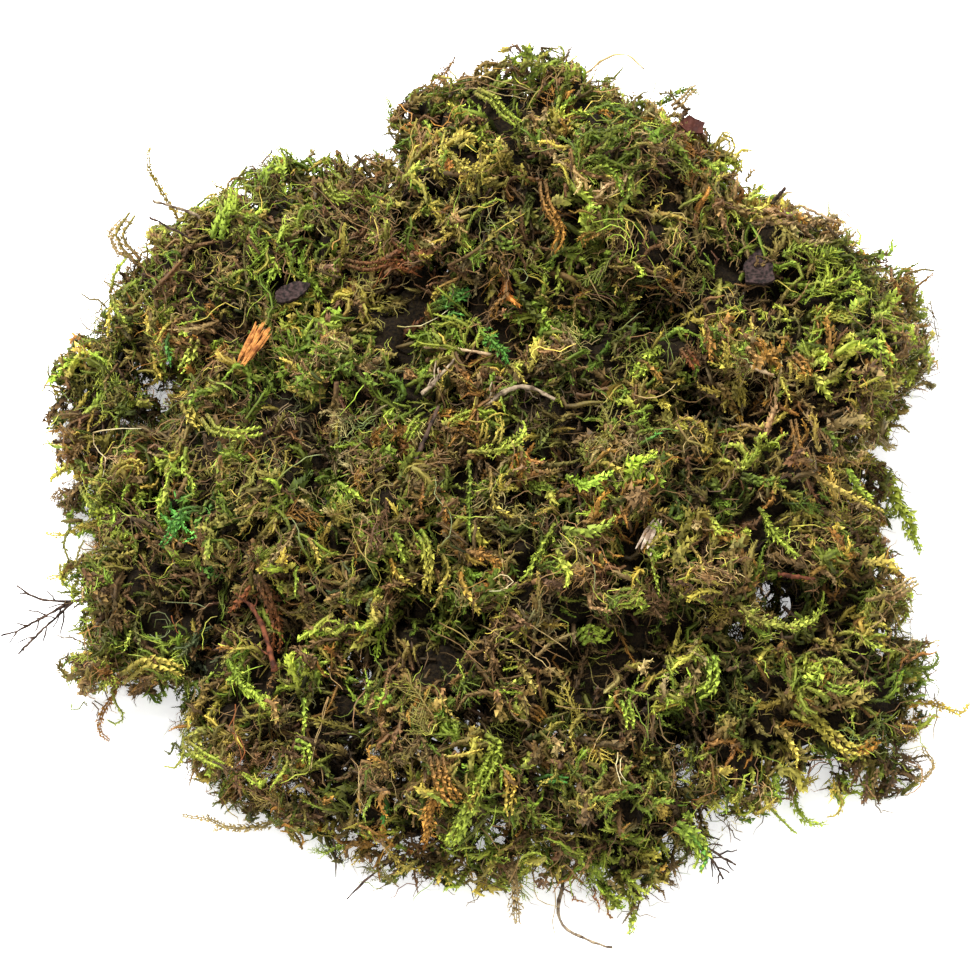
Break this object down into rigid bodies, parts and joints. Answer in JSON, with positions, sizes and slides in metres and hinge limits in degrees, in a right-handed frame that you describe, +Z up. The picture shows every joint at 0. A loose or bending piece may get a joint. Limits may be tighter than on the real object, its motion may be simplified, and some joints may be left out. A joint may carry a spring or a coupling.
{
  "type": "moss clump",
  "caption": "Low heap of dried forest moss in matted tufts, with loose sprigs, twigs, straw and bark scraps, resting on its flat underside.",
  "frame": {"origin": "middle of the heap's box on the surface it rests on", "axes": "+Z up from the surface, +X to the right as seen from the front, +Y towards the back, where the crown tuft is"},
  "size_m": [0.297, 0.2844, 0.0878],
  "materials": {
    "moss_green": "dry matted moss shoots, lime green tips over olive and brown",
    "moss_olive": "dry matted moss shoots, olive with green and brown strands",
    "moss_brown": "dry matted moss shoots, brown with some olive and green",
    "shoot_green": "dry leafy moss shoot, yellow green",
    "shoot_tan": "dead leafy moss shoot, tan",
    "twig_dark": "thin twig with dark bark, matt",
    "twig_grey": "thin weathered twig, grey, matt",
    "root_red": "red-brown root, slightly fibrous",
    "wood_orange": "broken orange wood splinter",
    "wood_pale": "broken pale wood chip",
    "straw": "pale dry straw, slightly glossy",
    "bark": "dark bark flake, rough",
    "leaf_red": "dry red-brown leaf scrap, curled"
  },
  "bodies": {
    "root": {"moss_tuft_crown": "moss_green", "moss_tuft_back_left": "moss_green", "moss_tuft_left_edge": "moss_brown", "moss_tuft_left": "moss_brown", "moss_tuft_front_left": "moss_olive", "moss_tuft_low_left": "moss_olive", "moss_tuft_centre": "moss_olive", "moss_tuft_middle": "moss_olive", "moss_tuft_back_right": "moss_green", "moss_tuft_right": "moss_olive", "moss_tuft_front_right": "moss_green", "moss_tuft_front": "moss_brown", "moss_tuft_low_right": "moss_olive", "sprig_back_left_arch": "shoot_green", "sprig_left_loop": "shoot_tan", "sprig_crown_left": "shoot_green", "sprig_crown_top": "shoot_green", "sprig_crown_right": "shoot_tan", "sprig_right_droop": "shoot_green", "sprig_right_hook": "shoot_tan", "sprig_front_right_ring": "shoot_tan", "sprig_front_right_low": "shoot_green", "sprig_front_tip": "shoot_green", "sprig_low_left_long": "shoot_tan", "sprig_front_left_hook": "shoot_tan", "sprig_left_upper": "shoot_green", "sprig_left_lower": "shoot_green", "stem_crown_top": "shoot_tan", "twig_left": "twig_dark", "twig_grey_fork": "twig_grey", "twig_front_tangle": "twig_dark", "stick_back_left_upper": "twig_grey", "stick_back_left_lower": "twig_dark", "straw_pale": "straw", "straw_stub": "straw", "straw_back_right": "straw", "twig_dark": "twig_dark", "twig_lichen": "twig_grey", "twig_stub": "twig_dark", "root_red_brown": "root_red", "stick_red": "root_red", "splinter_front": "twig_dark", "thorn_front": "twig_dark", "stick_front": "twig_grey", "frond_dry": "shoot_tan", "frond_brush": "shoot_tan", "bark_flake": "bark", "bark_dark": "bark", "wood_splinter_orange": "wood_orange", "wood_chip_pale": "wood_pale", "leaf_scrap_red": "leaf_red"}
  },
  "joints": []
}
